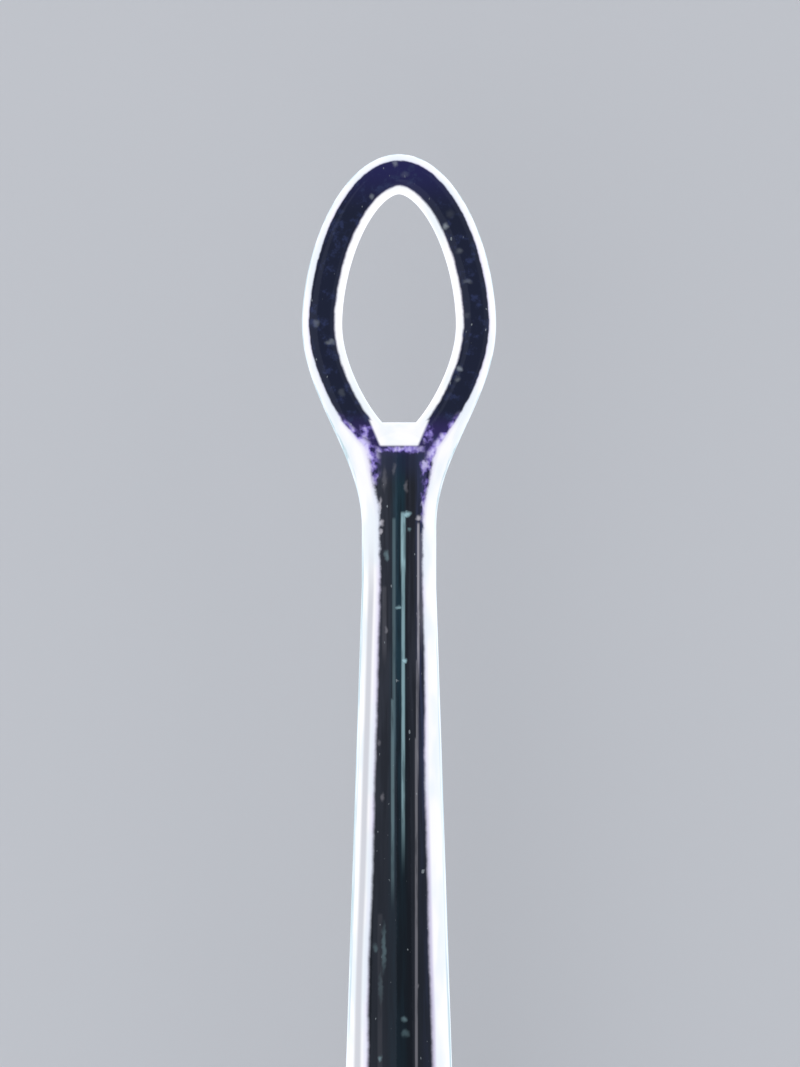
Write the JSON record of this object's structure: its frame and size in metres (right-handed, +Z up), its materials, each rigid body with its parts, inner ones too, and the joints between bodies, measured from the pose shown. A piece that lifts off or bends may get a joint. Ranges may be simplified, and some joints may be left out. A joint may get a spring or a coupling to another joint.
{
  "type": "lighted ear curette",
  "caption": "Clear light-guide ear curette with an oval loop tip, pushed on to a slim battery handle with a thumb slide switch and a screw tail cap.",
  "frame": {"origin": "on the rest plane under the middle of the whole length, centred across the width", "axes": "+Y along the instrument towards the loop tip, +Z up towards the thumb button, loop flat in the XY plane"},
  "size_m": [0.0138, 0.1392, 0.0133],
  "materials": {
    "clear_acrylic": "clear moulded acrylic, polished, lit from inside",
    "bright_aluminium": "turned and bead blasted",
    "black_rubber": "smooth nitrile",
    "lamp_epoxy": "clear cast epoxy",
    "nickel": "nickel plate",
    "dark_plastic": "moulded black nylon",
    "shell_plastic": "fine satin moulding texture",
    "soft_rubber": "soft matt elastomer",
    "button_plastic": "satin",
    "board_laminate": "green solder mask"
  },
  "bodies": {
    "handle": {"lower_shell": "shell_plastic", "upper_shell": "shell_plastic", "grip_sleeve": "soft_rubber", "trim_ring": "bright_aluminium", "nose_tube": "bright_aluminium", "nose_o_ring": "black_rubber", "led": "lamp_epoxy", "led_anode_lead": "nickel", "led_cathode_lead": "nickel", "led_retainer": "dark_plastic", "shell_screw_rear": "nickel", "shell_screw_front": "nickel", "battery_tube": "dark_plastic", "cell_1": "nickel", "cell_2": "nickel", "cell_3": "nickel", "front_contact": "nickel", "negative_strip": "nickel", "circuit_board": "board_laminate", "resistor": "dark_plastic", "switch_base": "dark_plastic", "switch_frame": "nickel", "switch_pin_1": "nickel", "switch_pin_2": "nickel", "switch_pin_3": "nickel"},
    "light_guide": {"curette": "clear_acrylic"},
    "switch": {"thumb_button": "button_plastic", "switch_slider": "dark_plastic", "switch_wiper": "nickel"},
    "spring": {"contact_spring": "nickel"},
    "tail": {"tail_cap": "shell_plastic", "spring_plate": "nickel", "tail_o_ring": "black_rubber"}
  },
  "joints": [
    {"name": "curette_pull", "type": "slide", "parent": "handle", "child": "light_guide", "axis": [0, 1, 0], "range_m": [0, 0.012]},
    {"name": "switch_slide", "type": "slide", "parent": "handle", "child": "switch", "axis": [0, 1, 0], "range_m": [-0.0025, 0]},
    {"name": "cap_travel", "type": "slide", "parent": "handle", "child": "spring", "axis": [0, -1, 0], "range_m": [0, 0.0055]},
    {"name": "cap_turn", "type": "hinge", "parent": "spring", "child": "tail", "pos_m": [0, -0.0636, 0.0064], "axis": [0, -1, 0], "range_deg": [0, 1980]}
  ],
  "couplings": [
    {"joint": "cap_turn", "follows": "cap_travel", "rad_per_m": 6283.2}
  ]
}
